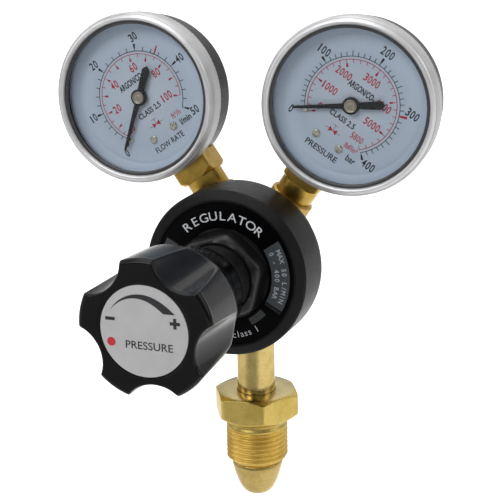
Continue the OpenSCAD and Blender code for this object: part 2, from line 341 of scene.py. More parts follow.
BRASS_STEM = brass("brass_turned", lin(216, 192, 122), lin(186, 156, 82), 0.15, 0.23, 0.2)
BRASS_NOSE = brass("brass_nose", lin(198, 174, 108), lin(170, 142, 78), 0.18, 0.26, 0.12)
BRASS_NUT = brass("brass_milled", lin(214, 188, 106), lin(196, 167, 84), 0.32, 0.42, 0.0)
BRASS_FACED = brass("brass_faced", lin(208, 190, 132), lin(194, 173, 110), 0.20, 0.28, 0.0)
BRASS_THREAD = brass("brass_thread", lin(232, 198, 104), lin(208, 168, 76), 0.33, 0.42, 0.0)
BRASS_BODY = brass("brass_body", lin(200, 168, 92), lin(170, 136, 66), 0.3, 0.45, 0.1)
BRASS_SOCKET = brass("brass_socket", lin(200, 166, 80), lin(160, 126, 50), 0.30, 0.40, 0.0)
BRASS_DARK = brass("brass_inner", lin(190, 158, 90), lin(160, 128, 62), 0.3, 0.45, 0.1)
KNOB_BLACK = black("knob_moulding", (0.0012, 0.0012, 0.0015), 0.17, 0.25, 900, 0.02, 0.0, 0.5, 1.34)
COVER_BLACK = black("cover_paint", (0.0075, 0.0075, 0.008), 0.33, 0.42, 3200, 0.07, 0.0, 0.5, 1.25)
PANEL_BLACK = black("label_panel", (0.0015, 0.0015, 0.0018), 0.24, 0.30, 2400, 0.02, 0.0, 0.5, 1.14)
BOSS_BLACK = black("boss_moulding", (0.0045, 0.0045, 0.005), 0.30, 0.38, 2600, 0.05, 0.0, 0.5)
CASE_BLACK = black("case_enamel", (0.004, 0.004, 0.0045), 0.22, 0.32, 1500, 0.03, 0.0, 0.5, 1.24)
RUBBER = black("seal_rubber", (0.045, 0.045, 0.048), 0.26, 0.38, 2600, 0.08, 0.0, 0.5)
STEEL = metal("zinc_steel", lin(214, 214, 216), lin(180, 181, 184), 0.22, 0.36)
SPRING = metal("spring_wire", lin(128, 130, 138), lin(96, 98, 106), 0.3, 0.45)
BEZEL = metal("bezel_satin", lin(206, 205, 205), lin(188, 187, 188), 0.42, 0.52, (1, 1, 0.02), 2600, 0.14, 0.7)
BEZEL_LIP = metal("bezel_polished", lin(222, 222, 223), lin(206, 206, 208), 0.30, 0.40, (1, 1, 0.05), 1800, 0.05, 0.55)
CAP_STEEL = metal("pointer_cap", lin(206, 196, 178), lin(172, 160, 142), 0.32, 0.45, (1, 1, 1), 1800, 0.14, 0.8)
SCREW_STEEL = metal("screw_nickel", lin(226, 222, 206), lin(190, 184, 164), 0.22, 0.34, (1, 1, 1), 1200, 0.08, 0.85)
LABEL = metal("label_silver", lin(200, 199, 199), lin(192, 191, 192), 0.42, 0.52, (1, 0.03, 1), 5200, 0.04, 0.35)
SINTER = metal("sintered_bronze", lin(170, 136, 86), lin(116, 90, 54), 0.5, 0.7, (1, 1, 1), 4200, 0.6)


def paint(name, col, rough=0.5):
    m = Mat(name)
    c = col[:3]
    m.color(m.ramp(m.noise(900, 3, 0.6), [(0.3, tuple(x * 0.88 for x in c)), (0.7, tuple(min(1, x * 1.08) for x in c))]))
    m.rough(m.remap(m.noise(700, 3, 0.6), rough - 0.05, rough + 0.08))
    m.bump(m.noise(4200, 2, 0.5), 0.04, 0.00003)
    return m.m




def dial_paint_rim_highlight():
    """Pale enamel with a painted highlight: a lighter band painted at about 22 mm radius where the raised rim catches
    the light; lighter at the centre, darker across the scale.
    """
    m = Mat("dial_face_rim_highlight")
    n = m.t.nodes.new("ShaderNodeVectorMath")
    n.operation = "MULTIPLY"
    n.inputs[1].default_value = (1, 1, 0)
    m.link(m.coord.outputs["Object"], n.inputs[0])
    d = m.t.nodes.new("ShaderNodeVectorMath")
    d.operation = "LENGTH"
    m.link(n.outputs[0], d.inputs[0])
    fac = m.remap(d.outputs["Value"], 0.0, 1.0, 0.0, 0.028)
    # painted highlight: the lighter stop at 0.80 (about 22 mm) stands in for the raised rim catching the light
    tone = m.ramp(fac, [(0.0, lin(219, 224, 232)), (0.62, lin(203, 213, 225)), (0.80, lin(218, 229, 241)), (1.0, lin(204, 215, 229))])
    speck = m.ramp(m.noise(1500, 3, 0.6), [(0.3, gray(0.95)), (0.7, gray(1.0))])
    m.color(m.mix(1.0, tone, speck, "MULTIPLY"))
    m.rough(m.remap(m.noise(700, 3, 0.6), 0.42, 0.55))
    m.bump(m.noise(4200, 2, 0.5), 0.04, 0.00003)
    return m.m


DIAL = dial_paint_rim_highlight()
INK_BLACK = paint("ink_black", (0.018, 0.019, 0.022), 0.5)
INK_RED = paint("ink_red", lin(196, 40, 52), 0.5)
INK_GREY = paint("ink_grey", lin(40, 40, 40), 0.5)
LABEL_BLOCK = paint("label_block", lin(54, 59, 62), 0.45)
INK_WHITE = paint("ink_white", lin(205, 208, 212), 0.45)
POINTER = paint("pointer_black", (0.008, 0.008, 0.008), 0.42)

lens = Mat("lens_clear")
lens.put(Metallic=0.0, IOR=1.45, Roughness=0.02)
lens.color(lens.ramp(lens.noise(60, 2), [(0.3, lin(236, 243, 250)), (0.7, lin(246, 250, 253))]))
_t = lens.t
_tr = _t.nodes.new("ShaderNodeBsdfTransparent")
_tr.inputs["Color"].default_value = (0.965, 0.98, 0.995, 1)
_fr = _t.nodes.new("ShaderNodeFresnel")
_fr.inputs["IOR"].default_value = 1.2
_mx = _t.nodes.new("ShaderNodeMixShader")
_gl = _t.nodes.new("ShaderNodeBsdfGlossy")
_gl.inputs["Roughness"].default_value = 0.03
_out = _t.nodes["Material Output"]
lens.link(_fr.outputs["Fac"], _mx.inputs["Fac"])
lens.link(_tr.outputs["BSDF"], _mx.inputs[1])
lens.link(_gl.outputs["BSDF"], _mx.inputs[2])
lens.link(_mx.outputs["Shader"], _out.inputs["Surface"])
LENS = lens.m

# --------------------------------------------------------------------------
# knob: five lobes, drafted finger scoops, rolled front and rear edges
# --------------------------------------------------------------------------
FRONT = 92.57
VALLEYS = [math.radians(59.5 + 72 * k) for k in range(5)]


def smin(a, b, k):
    h = np.maximum(k - np.abs(a - b), 0) / k
    return np.minimum(a, b) - h * h * k / 4


def scoop(th, d):
    """Distance from the axis to the scoop wall in direction th at depth d."""
    c, a = 26.85 + 0.095 * min(d, 26.0), 10.5
    out = np.full_like(th, 40.0)
    for v in VALLEYS:
        e = (th - v + math.pi) % (2 * math.pi) - math.pi
        s = c * np.sin(e)
        hit = (np.abs(s) < a * 0.9995) & (np.abs(e) < 1)
        r = c * np.cos(e) - np.sqrt(np.maximum(a * a - s * s, 0))
        out = np.where(hit, np.minimum(out, r), out)
    return out


def knob_part():
    n = 720
    th = np.arange(n) * 2 * math.pi / n
    rows = []

    def row(r, d):
        r = np.broadcast_to(np.asarray(r, float), th.shape)
        d = np.broadcast_to(np.asarray(d, float), th.shape)
        rows.append(np.stack([r * np.cos(th), r * np.sin(th), FRONT - d], 1))

    row(14.12, 1.0)
    row(14.12, 0.18)
    row(14.16, 0.06)
    row(14.3, 0.0)
    rim = smin(np.full(n, 21.78), scoop(th, 1.5), 1.1)
    t = np.clip((rim - 17.0) / 4.4, 0, 1)
    bw, bd = 0.75 + 0.75 * t, 0.8 + 1.1 * t
    for f in (0.25, 0.5, 0.75, 0.93):
        row(14.3 + (rim - bw - 14.3) * f, 0.0)
    for k in range(0, 11):
        q = math.pi / 2 * k / 10
        row(rim - bw + bw * math.sin(q), bd * (1 - math.cos(q)))
    side = [(21.8 - 0.05 * d, d) for d in np.linspace(2.2, 20.6, 30)]
    back = [(20.74, 21.2), (20.68, 22.0), (20.5, 22.9), (20.2, 23.9), (19.8, 24.9), (19.25, 25.9),
            (18.55, 26.8), (17.75, 27.6), (16.9, 28.2), (16.1, 28.7), (15.5, 29.2), (15.15, 29.8),
            (15.02, 30.6), (15.0, 32.0), (15.0, 41.9), (14.8, 42.4), (14.5, 42.57)]
    for R0, d in side + back:
        r = smin(np.full(n, R0), scoop(th, d), 0.9) if R0 > 15.2 else np.full(n, R0)
        row(np.maximum(r, 14.4), d)
    row(12.9, 42.57)
    row(12.6, 42.3)
    row(12.6, 22.2)
    row(12.4, 22.07)
    m = len(rows)
    V = [tuple(p) for r_ in rows for p in r_]
    F = []
    for i in range(m - 1):
        for k in range(n):
            l = (k + 1) % n
            F.append((i * n + k, (i + 1) * n + k, (i + 1) * n + l, i * n + l))
    c0 = len(V)
    V += [(0, 0, FRONT - 1.0), (0, 0, FRONT - 22.07)]
    for k in range(n):
        l = (k + 1) % n
        F.append((c0, k, l))
        F.append((c0 + 1, (m - 1) * n + l, (m - 1) * n + k))
    return V, F


v, f = knob_part()
add_object("knob_grip", v, f, FWD, "knob", KNOB_BLACK, smooth=40, slot="knob_plastic", replaces=("knob",))

lathe("knob_plate", [(0, 91.62), (13.9, 91.62), (14.06, 91.8), (14.06, 92.46, 0.12), (13.8, 92.52), (0, 92.52)],
      FWD, "knob", LABEL, n=180, slot="silver_label", replaces=("knob_cap",))


# --------------------------------------------------------------------------
# flat printed marks
# --------------------------------------------------------------------------

def glyphs(text, height, squeeze=0.58, weight=0.0):
    """Outline of generic lettering as flat faces, centred, with capitals of this height."""
    cu = bpy.data.curves.new("lettering", "FONT")
    cu.body = text
    cu.size = 1.0
    cu.offset = weight
    cu.resolution_u = 4
    ob = bpy.data.objects.new("lettering", cu)
    scene.collection.objects.link(ob)
    dg = bpy.context.evaluated_depsgraph_get()
    me = bpy.data.meshes.new_from_object(ob.evaluated_get(dg))
    V = np.array([v.co[:2] for v in me.vertices], float).reshape(-1, 2)
    F = [tuple(p.vertices) for p in me.polygons]
    bpy.data.objects.remove(ob)
    bpy.data.curves.remove(cu)
    bpy.data.meshes.remove(me)
    V = V * height / CAP
    V[:, 0] *= squeeze
    x0, x1 = V[:, 0].min(), V[:, 0].max()
    V[:, 0] -= (x0 + x1) / 2
    V[:, 1] -= height / 2
    return V, F


CAP = 1.0
_v, _f = glyphs("H", 1.0, 1.0)
CAP = float(_v[:, 1].max() - _v[:, 1].min())


class Print:
    """Collects flat marks lying in one plane of a frame."""

    def __init__(self, z):
        self.z, self.V, self.F = z, [], []

    def poly(self, pts):
        o = len(self.V)
        self.V += [(x, y, self.z) for x, y in pts]
        self.F.append(tuple(range(o, o + len(pts))))

    def strip(self, a, b):
        o = len(self.V)
        for p, q in zip(a, b):
            self.V += [(p[0], p[1], self.z), (q[0], q[1], self.z)]
        for i in range(len(a) - 1):
            k = o + 2 * i
            self.F.append((k, k + 1, k + 3, k + 2))

    def arc(self, r0, r1, a0, a1):
        n = max(2, int(abs(a1 - a0) / 1.5))
        q = [math.radians(a0 + (a1 - a0) * i / n) for i in range(n + 1)]
        self.strip([(r0 * math.cos(t), r0 * math.sin(t)) for t in q],
                   [(r1 * math.cos(t), r1 * math.sin(t)) for t in q])

    def tick(self, deg, r0, r1, w, w1=None):
        t = math.radians(deg)
        c, s = math.cos(t), math.sin(t)
        w1 = w if w1 is None else w1
        self.poly([(r0 * c + w / 2 * s, r0 * s - w / 2 * c), (r1 * c + w1 / 2 * s, r1 * s - w1 / 2 * c),
                   (r1 * c - w1 / 2 * s, r1 * s + w1 / 2 * c), (r0 * c - w / 2 * s, r0 * s + w / 2 * c)])

    def digits(self, s, x, y, height=2.6, width=1.32, pitch=1.62, weight=0.02):
        """Numerals of equal width on an even pitch."""
        for i, ch in enumerate(s):
            V, F = glyphs(ch, height, 1.0, weight)
            w = V[:, 0].max() - V[:, 0].min()
            V[:, 0] *= (0.5 if ch == "1" else width) / w
            o = len(self.V)
            cx = x + (i - (len(s) - 1) / 2) * pitch
            self.V += [(cx + p[0], y + p[1], self.z) for p in V]
            self.F += [tuple(j + o for j in q) for q in F]

    def text(self, s, x, y, height, squeeze=0.58, turn=0.0, weight=0.0, width=None):
        V, F = glyphs(s, height, squeeze, weight)
        if width:
            V[:, 0] *= width / (V[:, 0].max() - V[:, 0].min())
        t = math.radians(turn)
        o = len(self.V)
        self.V += [(x + p[0] * math.cos(t) - p[1] * math.sin(t), y + p[0] * math.sin(t) + p[1] * math.cos(t), self.z) for p in V]
        self.F += [tuple(i + o for i in q) for q in F]

    def arc_text(self, s, r, mid, step, height, squeeze, inward=False, weight=0.0):
        """Letters along an arc, one by one, read clockwise, or anticlockwise if inward."""
        n = len(s)
        for i, ch in enumerate(s):
            if ch == " ":
                continue
            k = (i - (n - 1) / 2) * step
            a = mid + k if inward else mid - k
            t = math.radians(a)
            self.text(ch, r * math.cos(t), r * math.sin(t), height, squeeze, a + 90 if inward else a - 90, weight)

    def make(self, name, M, body, mat):
        me = bpy.data.meshes.new(name)
        me.from_pydata([(x * MM, y * MM, z * MM) for x, y, z in self.V], [], self.F)
        me.validate()
        bm = bmesh.new()
        bm.from_mesh(me)
        for fc in bm.faces:
            fc.normal_update()
            if fc.normal.z < 0:
                fc.normal_flip()
        bm.to_mesh(me)
        bm.free()
        ob = bpy.data.objects.new(name, me)
        scene.collection.objects.link(ob)
        ob.matrix_world = M
        me.materials.append(mat)
        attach(ob, body)
        return ob


def curve(points, n=40):
    """Smooth curve through the points, by chord length."""
    P = np.array(points, float)
    s = np.concatenate([[0], np.cumsum(np.linalg.norm(np.diff(P, axis=0), axis=1))])
    s /= s[-1]
    deg = min(4, len(P) - 1)
    cx, cy = np.polyfit(s, P[:, 0], deg), np.polyfit(s, P[:, 1], deg)
    q = np.linspace(0, 1, n)
    return list(zip(np.polyval(cx, q), np.polyval(cy, q)))


pk = Print(92.56)
pk.strip(curve([(-10.7, 5.4), (-6.6, 9.6), (-0.4, 11.2), (5.6, 9.4), (10.1, 6.0)]),
         curve([(-10.7, 5.4), (-6.6, 8.9), (-0.4, 9.7), (3.0, 8.4), (6.4, 5.95)]))
pk.poly([(-12.25, 2.6), (-9.15, 2.6), (-9.15, 3.6), (-12.25, 3.6)])
pk.poly([(8.4, 2.8), (11.6, 2.8), (11.6, 3.8), (8.4, 3.8)])
pk.poly([(9.5, 1.7), (10.5, 1.7), (10.5, 2.8), (9.5, 2.8)])
pk.poly([(9.5, 3.8), (10.5, 3.8), (10.5, 4.9), (9.5, 4.9)])
pk.text("PRESSURE", 1.6, -4.3, 2.3, 1.05, 0.0, 0.008)
pk.make("knob_plate_marks", FWD, "knob", INK_BLACK)
pr = Print(92.56)
pr.poly([(-10.6 + 1.35 * math.cos(t), -4.0 + 1.35 * math.sin(t)) for t in np.linspace(0, 2 * math.pi, 33)[:-1]])
pr.make("knob_plate_dot", FWD, "knob", INK_RED)

# --------------------------------------------------------------------------
# housing
# --------------------------------------------------------------------------
lathe("housing_shell", [
    (26.6, 10.9), (28.2, 10.9, 0.7), (29.0, 11.5, 0.8), (29.16, 13.2, 1.5), (28.88, 28.45, 0.35),
    (28.35, 28.95, 0.4), (25.7, 29.9, 0.8), (24.95, 29.75, 0.45), (24.6, 28.6), (26.6, 28.6)],
    FWD, "regulator", COVER_BLACK, n=256, slot="black_plastic", replaces=("housing_cover",))
lathe("label_panel", [(16.0, 28.85), (24.75, 28.85), (24.75, 29.15, 0.05), (23.95, 29.2), (23.8, 29.4, 0.08), (16.3, 29.4), (16.0, 29.3)],
      FWD, "regulator", PANEL_BLACK, n=256, slot="black_label", replaces=("label_ring",))

lab = Print(29.43)
lab.arc(17.1, 23.4, -29.0, 33.5)
lab.arc(17.1, 23.4, 151.0, 211.0)
lab.make("label_blocks", FWD, "regulator", LABEL_BLOCK)
lab = Print(29.43)
for a in (-30.6, -32.0):
    lab.tick(a, 17.1, 23.4, 0.18)
    lab.tick(180 - a - 28.3, 17.1, 23.4, 0.18)
lab.arc(17.1, 19.6, -60.0, -41.0)
lab.make("label_rules", FWD, "regulator", paint("ink_dim", lin(44, 46, 49), 0.45))
lab = Print(29.46)
lab.arc_text("REGULATOR", 20.15, 90.0, 9.9, 2.9, 1.15, False, 0.004)
lab.arc_text("class 1", 21.4, -69.5, 3.9, 2.2, 0.95, True, 0.0)
lab.make("label_lettering", FWD, "regulator", INK_WHITE)
lab = Print(29.46)
lab.arc_text("0 - 400 BAR", 19.0, 3.0, 4.6, 1.6, 0.95, False, 0.016)
lab.arc_text("MAX 50 L/MIN", 21.6, 2.0, 4.2, 1.6, 0.95, False, 0.016)
lab.arc_text("MIXED GAS", 20.3, 181.0, 5.0, 1.6, 0.95, False, 0.016)
lab.make("label_small_lettering", FWD, "regulator", paint("ink_soft", lin(158, 163, 170), 0.45))


def boss():
    """Rounded hexagon boss with a rolled top edge, a dished top and the screw neck."""
    n = 240
    rows = []
    half = 14.25
    th = [math.radians(17 + 360 * k / n) for k in range(n)]

    def hexr(t, grow=0.0):
        e = (t - math.radians(17)) % math.radians(60) - math.radians(30)
        flat = (half + grow) / math.cos(e)
        cap = 15.75 + grow
        h = max(1.2 - abs(flat - cap), 0) / 1.2
        return min(flat, cap) - h * h * 1.2 / 4

    def row(off, z, circle=None, w=1.0):
        pts = []
        for t in th:
            r = hexr(t) + off
            if circle is not None:
                r = r * (1 - w) + circle * w
            pts.append((r * math.cos(t), r * math.sin(t), z))
        rows.append(pts)

    row(0.9, 28.7)
    row(0.35, 29.3)
    row(0.12, 30.0)
    row(0.0, 33.4)
    for k in range(1, 9):
        q = math.pi / 2 * k / 8
        row(-1.0 * (1 - math.cos(q)) * 1.15, 33.4 + 2.6 * math.sin(q), 12.7, 0.28 * (1 - math.cos(q)))
    row(0, 36.3, 12.85, 0.9)
    row(0, 36.4, 12.45, 1.0)
    row(0, 36.2, 12.2, 1.0)
    row(0, 35.4, 12.05, 1.0)
    row(0, 35.3, 12.0, 1.0)
    row(0, 59.4, 12.0, 1.0)
    row(0, 59.9, 11.6, 1.0)
    row(0, 60.0, 5.4, 1.0)
    row(0, 59.6, 5.06, 1.0)
    row(0, 48.0, 5.06, 1.0)
    row(0, 48.0, 10.5, 1.0)
    row(0, 27.6, 10.5, 1.0)
    V, F = [], []
    for r_ in rows:
        V += r_
    m = len(rows)
    for i in range(m):
        j = (i + 1) % m
        for k in range(n):
            l = (k + 1) % n
            F.append((i * n + k, i * n + l, j * n + l, j * n + k))
    return V, F


v, f = boss()
add_object("bonnet_boss", v, f, FWD, "regulator", BOSS_BLACK, smooth=38, slot="black_housing")
lathe("bonnet_shell", [(10.5, 27.6), (10.5, 28.8), (26.5, 28.8), (26.5, 12.8), (24.02, 12.8), (24.02, 21.0), (19.5, 21.0), (19.5, 25.0)],
      FWD, "regulator", BOSS_BLACK, n=192, slot="black_housing", replaces=("bonnet",))


# --------------------------------------------------------------------------
# polar solids: outer radius is a function of angle and height
# --------------------------------------------------------------------------

def polar(heights, radius, bore, n=384):
    """Closed tube: outer wall radius(theta, z) at these heights, inner wall from (r, z) points, last to first."""
    th = np.arange(n) * 2 * math.pi / n
    rings = []
    for z in heights:
        r = np.broadcast_to(radius(th, z), th.shape)
        rings.append(np.stack([r * np.cos(th), r * np.sin(th), np.full(n, z)], 1))
    for r, z in bore:
        rings.append(np.stack([r * np.cos(th), r * np.sin(th), np.full(n, z)], 1))
    V = [tuple(p) for g in rings for p in g]
    F = []
    m = len(rings)
    for i in range(m):
        j = (i + 1) % m
        for k in range(n):
            l = (k + 1) % n
            F.append((i * n + k, i * n + l, j * n + l, j * n + k))
    return V, F


def polygon_radius(th, sides, apothem, phase, soft):
    """Radius of a regular polygon with softened corners, flats centred on the phase."""
    step = 2 * math.pi / sides
    e = (th - math.radians(phase) + step / 2) % step - step / 2
    flat = apothem / np.cos(e)
    cap = apothem / math.cos(step / 2) - soft
    return smin(flat, np.full_like(flat, cap), soft * 1.6 + 1e-6)


def cone_radius(z, pts):
    return float(np.interp(z, [p[0] for p in pts], [p[1] for p in pts]))


def spaced(stops, step):
    """Heights through these stops, with at most this step between them."""
    out = [stops[0]]
    for a, b in zip(stops, stops[1:]):
        k = max(1, int(math.ceil((b - a) / step)))
        out += [a + (b - a) * (i + 1) / k for i in range(k)]
    return out


# coil springs inside the body, each with a mesh of its own
def coil_part(rm, rw, z0, pitch, mid, turns, steps=56, sides=16):
    def rise(t):
        if t < 1:
            return pitch * t
        if t < turns - 1:
            return pitch + mid * (t - 1)
        return pitch + mid * (turns - 2) + pitch * (t - turns + 1)

    rings = []
    for i in range(turns * steps + 1):
        a = 2 * math.pi * i / steps
        q = min(1.0, 0.82 + 0.18 * min(i, turns * steps - i) / 6.0)
        ring = []
        for j in range(sides):
            b = 2 * math.pi * j / sides
            r = rm + rw * q * math.cos(b)
            ring.append((r * math.cos(a), r * math.sin(a), z0 + rw + rise(i / steps) + rw * q * math.sin(b)))
        rings.append(ring)
    verts = [p for ring in rings for p in ring]
    faces = []
    for i in range(len(rings) - 1):
        for j in range(sides):
            k = (j + 1) % sides
            faces.append((i * sides + j, i * sides + k, (i + 1) * sides + k, (i + 1) * sides + j))
    faces.append(tuple(range(sides - 1, -1, -1)))
    faces.append(tuple((len(rings) - 1) * sides + j for j in range(sides)))
    return verts, faces


v, f = coil_part(7.0, 1.38, 22.95, 2.9, 4.05, 5)
spring = add_object("adjusting_spring_coil", v, f, FWD, "regulator", SPRING, smooth=60, slot="steel", replaces=("adjusting_spring",))
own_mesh(spring)
v, f = coil_part(3.2, 0.39, -10.9, 0.9, 1.0, 5)
spring = add_object("valve_spring_coil", v, f, FWD, "regulator", SPRING, smooth=60, slot="steel", replaces=("valve_spring",))
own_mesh(spring)


# inlet nipple: a turned pin through the nut with a bullnose at the end
nip = lathe("nipple_turned", [
    (2.0, 30), (6.97, 30), (6.97, 52.2, 0.2), (7.55, 52.3, 0.2), (7.6, 53.4), (7.0, 53.6), (7.0, 79.2, 0.3),
    (7.6, 79.35, 0.2), (8.7, 79.5, 0.6), (9.3, 80.1, 0.5), (9.5, 81.0, 0.5), (9.25, 82.3, 0.8), (8.8, 84.2, 2), (8.2, 86.2, 2.5),
    (7.55, 88.1, 3), (6.8, 89.8, 3), (5.95, 91.2, 2.0), (5.0, 92.25, 1.2), (3.95, 92.85, 0.8), (2.9, 93.0, 0.3), (2.2, 92.9, 0.2), (2.0, 92.4)],
    DOWN, "regulator", BRASS_STEM, n=192, seg=6, slot="brass", replaces=("inlet_nipple",))
nip.data.materials.append(BRASS_NOSE)
for pl in nip.data.polygons:
    if pl.center.z > 79.25 * MM:
        pl.material_index = 1

# inlet nut: bevelled hexagon, relief neck and a real helical thread
PITCH = 1.814
CONE = [(51.9, 14.0), (53.77, 17.6), (59.3, 17.6), (63.6, 10.9)]


def nut_wall(th, z):
    if z <= 63.6:
        return smin(polygon_radius(th, 6, 14.3, -0.5 - 30 + 1.0, 0.28), np.full_like(th, cone_radius(z, CONE)), 0.35)
    if z <= 65.5:
        return np.full_like(th, cone_radius(z, [(63.6, 10.9), (63.8, 10.88), (64.3, 11.0), (64.8, 11.25), (65.2, 11.42), (65.5, 11.455)]))
    ph = (z / PITCH - th / (2 * math.pi)) % 1.0
    tri = np.abs(ph - 0.5) * 2
    depth = 0.8
    crest = np.clip((tri - 0.09) / 0.82, 0, 1)
    crest = crest * crest * (3 - 2 * crest) * 0.35 + crest * 0.65
    root, top = 11.455 - depth, 11.455
    r = root + (top - root) * crest
    lead = np.clip((z - 65.6) / 1.4, 0, 1)
    r = np.maximum(r, top + (root - top) * lead)
    if z > 77.75:
        r = np.minimum(r, 11.455 - (z - 77.75) * 1.05)
    return r


hs = spaced([51.9, 52.1, 53.9, 59.2, 63.6], 0.2) + spaced([63.8, 64.3, 64.8, 65.2, 65.5], 0.12) + spaced([65.6, 78.8], 0.075)
hs += [78.87]
v, f = polar(hs, nut_wall, [(10.0, 78.95), (8.3, 78.95), (8.0, 78.7), (8.0, 54.0), (8.0, 52.1), (7.16, 52.08), (7.16, 51.95), (7.3, 51.9)], 384)
nut = add_object("inlet_nut_milled", v, f, DOWN, "inlet_nut", BRASS_NUT, smooth=34, slot="brass", replaces=("inlet_nut",))

nut.data.materials.append(BRASS_FACED)
nut.data.materials.append(BRASS_THREAD)
for pl in nut.data.polygons:
    if pl.center.z < 51.93 * MM:
        pl.material_index = 1
    elif pl.center.z > 65.6 * MM:
        pl.material_index = 2

# main body in overlapping turned parts
lathe("body_core", [
    (8, -13), (12.6, -13, 0.5), (14, -12, 0.5), (14, -9.1, 0.5), (20.6, -9, 0.7), (21, -8.4, 0.5), (21, 8), (24, 8, 0.4),
    (24, 19), (19, 19), (19, 12.5), (6, 12.5), (6, 2), (8, 2)],
    FWD, "regulator", BRASS_BODY, n=192, slot="brass", replaces=("body",))
lathe("body_inlet_boss", [(6.58, 19), (9.5, 12), (9.5, 30, 0.4), (6.58, 30)], DOWN, "regulator", BRASS_BODY, slot="brass")
for s in (-1, 1):
    lathe("body_%s_boss" % SIDE[s], [(6.58, 16), (8, 12), (8, 26.4, 0.5), (7.2, 27, 0.2), (6.58, 27)], STEMF(s), "regulator", BRASS_BODY, slot="brass")
lathe("body_outlet_boss", [(8.36, 20), (10.5, 13), (10.5, 27.4, 0.4), (9.8, 28, 0.2), (8.36, 28)], OUT, "regulator", BRASS_BODY, slot="brass")


def hex_solid(name, M, body, mat, apothem, phase, cone, bore, slot, replaces=(), step=0.25, n=288, soft=0.22):
    """Hexagon turned on both ends to this (z, r) cone, with a bore."""
    wall = lambda th, z: smin(polygon_radius(th, 6, apothem, phase, soft), np.full_like(th, cone_radius(z, cone)), 0.25)
    v, f = polar(spaced([c[0] for c in cone], step), wall, bore, n)
    return add_object(name, v, f, M, body, mat, smooth=34, slot=slot, replaces=replaces)


hex_solid("outlet_adapter_hex", OUT, "regulator", BRASS_SOCKET, 9.5, 30, [(28.02, 9.3), (29.0, 10.9), (33.0, 10.9), (34.0, 9.4)],
          [(7.8, 34.0), (3.5, 33.9), (3.5, 28.2), (7.8, 28.02)], "brass", ("outlet_adapter",))


def outlet_thread(th, z):
    ph = (z / 1.337 - th / (2 * math.pi)) % 1.0
    tri = np.abs(ph - 0.5) * 2
    r = 8.3 - 0.8 + 0.8 * tri
    if z > 45.0:
        r = np.minimum(r, 8.3 - (z - 45.0) * 0.9)
    if z < 20.8:
        r = np.minimum(r, 7.6)
    return r


v, f = polar(spaced([20.4, 46.0], 0.1), outlet_thread, [(7.0, 46.0), (3.5, 45.9), (3.5, 20.5), (7.0, 20.4)], 160)
add_object("outlet_adapter_thread", v, f, OUT, "regulator", BRASS_SOCKET, smooth=34, slot="brass")
hex_solid("hose_nut_hex", OUT, "hose_nut", BRASS_NUT, 10.2, 30, [(36.0, 10.5), (37.5, 12.0), (51.4, 12.0), (53.0, 10.2)],
          [(9.2, 53.0), (5.6, 52.95), (5.4, 52.6), (5.4, 50.0), (8.42, 49.9), (8.42, 36.2), (8.8, 36.0)], "brass", ("hose_nut",))
lathe("hose_tail_barbed", [
    (2.5, 46.3), (7.9, 46.3), (7.9, 49.7), (5.0, 49.7), (5.0, 54.6, 0.3), (5.4, 55.0, 0.2), (4.35, 58.4, 0.3), (5.4, 58.6, 0.15),
    (4.35, 62.0, 0.3), (5.4, 62.2, 0.15), (4.35, 65.6, 0.3), (5.4, 65.8, 0.15), (4.35, 69.2, 0.5), (3.8, 70.0, 0.3), (2.5, 70.0, 0.3)],
    OUT, "regulator", BRASS_STEM, n=144, slot="brass", replaces=("hose_tail",))

# --------------------------------------------------------------------------
# gauges
# --------------------------------------------------------------------------

def box_part(x0, x1, y0, y1, z0, z1):
    V = [(x, y, z) for z in (z0, z1) for y in (y0, y1) for x in (x0, x1)]
    F = [(0, 2, 3, 1), (4, 5, 7, 6), (0, 1, 5, 4), (2, 6, 7, 3), (0, 4, 6, 2), (1, 3, 7, 5)]
    return V, F


def extrude(pts, z0, z1):
    return prism_stack([[(x, y, z0) for x, y in pts], [(x, y, z1) for x, y in pts]])


def screw_head(r, z0, z1, slot, turn, top=None):
    """Round head with a real slot: a base disc and two rounded halves standing on it."""
    top = top or (z1 - z0) * 0.3
    zb = z0 + (z1 - z0) * 0.4
    parts = [lathe_data([(0, z0), (r, z0), (r, zb), (0, zb)], 48)]
    c, s = math.cos(math.radians(turn)), math.sin(math.radians(turn))
    for side in (-1, 1):
        rings = []
        for k in range(5):
            q = math.pi / 2 * k / 4
            rr = r - top * (1 - math.cos(q)) * 1.2
            z = z1 - top + top * math.sin(q)
            if k == 0:
                rings.append((r, zb))
            rings.append((rr, z))
        out = []
        for rr, z in rings:
            a0 = math.asin(slot / 2 / rr)
            pts = []
            for i in range(25):
                a = a0 + (math.pi - 2 * a0) * i / 24
                x, y = rr * math.cos(a), rr * math.sin(a) * side
                pts.append((x * c - y * s, x * s + y * c, z))
            out.append(pts if side > 0 else pts[::-1])
        parts.append(prism_stack(out))
    return merge(*parts)


def sector_text(p, s, x, y, h, q=0.56, w=0.0):
    p.text(s, x, y, h, q, 0.0, w)


def lerp(a, b, t):
    return a + (b - a) * t


